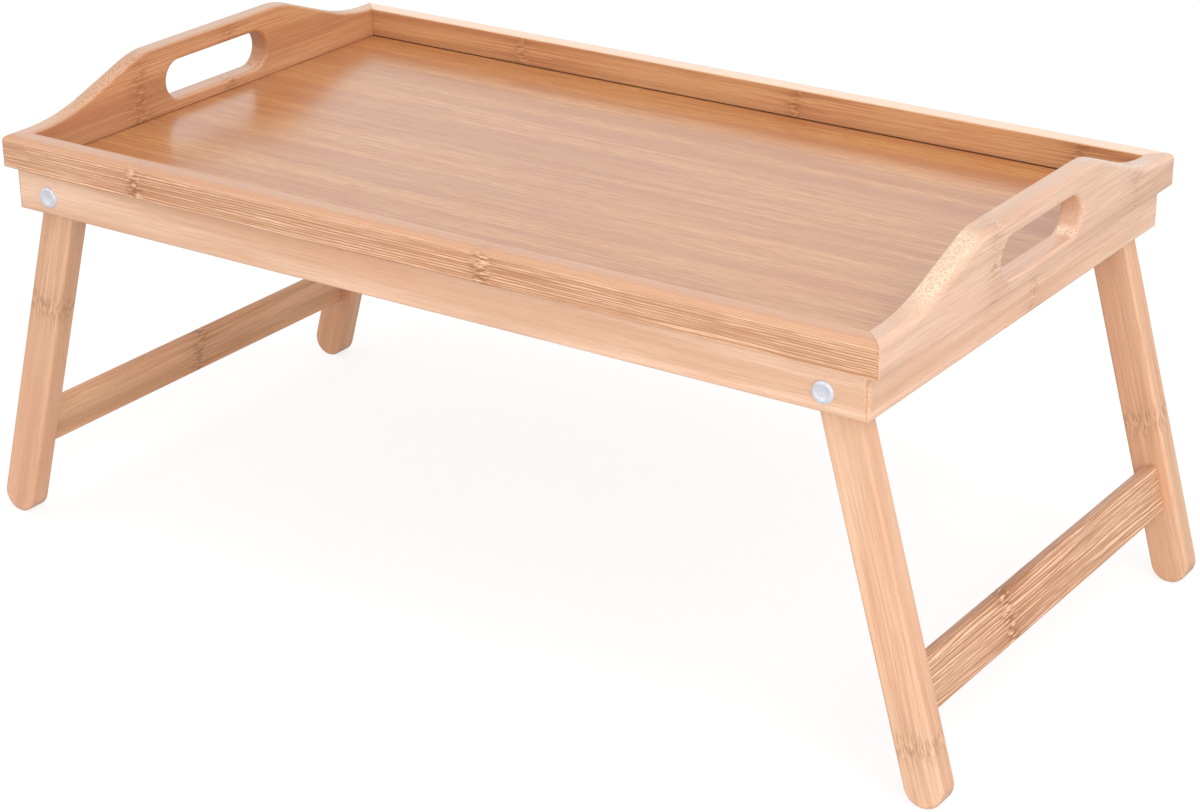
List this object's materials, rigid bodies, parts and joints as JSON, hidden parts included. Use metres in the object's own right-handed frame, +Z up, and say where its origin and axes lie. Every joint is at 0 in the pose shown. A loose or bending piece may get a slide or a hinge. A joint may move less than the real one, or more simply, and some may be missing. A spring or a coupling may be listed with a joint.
{
  "type": "folding tray table",
  "caption": "Bamboo lap tray with raised rim, handles at both ends and leg frames that fold flat beneath it.",
  "frame": {"origin": "on the ground under the middle of the tray, with the legs open", "axes": "+X along the tray's length towards the right-hand handle, +Y to the rear, +Z up"},
  "size_m": [0.5658, 0.295, 0.2394],
  "materials": {
    "rim_bamboo": "satin lacquered laminated bamboo",
    "apron_bamboo": "satin lacquered laminated bamboo",
    "panel_bamboo": "glossy lacquered bamboo board",
    "leg_bamboo": "satin lacquered laminated bamboo",
    "spline_bamboo": "raw bamboo",
    "pivot_metal": "satin",
    "washer_metal": "plain"
  },
  "bodies": {
    "tray": {"front_rim_rail": "rim_bamboo", "rear_rim_rail": "rim_bamboo", "left_handle_board": "rim_bamboo", "right_handle_board": "rim_bamboo", "front_apron": "apron_bamboo", "rear_apron": "apron_bamboo", "left_end_apron": "apron_bamboo", "right_end_apron": "apron_bamboo", "tray_panel": "panel_bamboo", "rim_corner_splines": "spline_bamboo", "apron_corner_splines": "spline_bamboo", "front_right_pivot_barrel": "pivot_metal", "front_right_pivot_screw": "pivot_metal", "front_right_pivot_washer": "washer_metal", "front_left_pivot_barrel": "pivot_metal", "front_left_pivot_screw": "pivot_metal", "front_left_pivot_washer": "washer_metal", "rear_right_pivot_barrel": "pivot_metal", "rear_right_pivot_screw": "pivot_metal", "rear_right_pivot_washer": "washer_metal", "rear_left_pivot_barrel": "pivot_metal", "rear_left_pivot_screw": "pivot_metal", "rear_left_pivot_washer": "washer_metal"},
    "left_leg_frame": {"front_left_leg": "leg_bamboo", "rear_left_leg": "leg_bamboo", "left_stretcher": "leg_bamboo", "left_stretcher_dowels": "spline_bamboo"},
    "right_leg_frame": {"front_right_leg": "leg_bamboo", "rear_right_leg": "leg_bamboo", "right_stretcher": "leg_bamboo", "right_stretcher_dowels": "spline_bamboo"}
  },
  "joints": [
    {"name": "right_leg_fold", "type": "hinge", "parent": "tray", "child": "right_leg_frame", "pos_m": [0.2228, 0, 0.1899], "axis": [0, 1, 0], "range_deg": [0, 105.6]},
    {"name": "left_leg_fold", "type": "hinge", "parent": "tray", "child": "left_leg_frame", "pos_m": [-0.2228, 0, 0.1899], "axis": [0, -1, 0], "range_deg": [0, 105.6]}
  ]
}
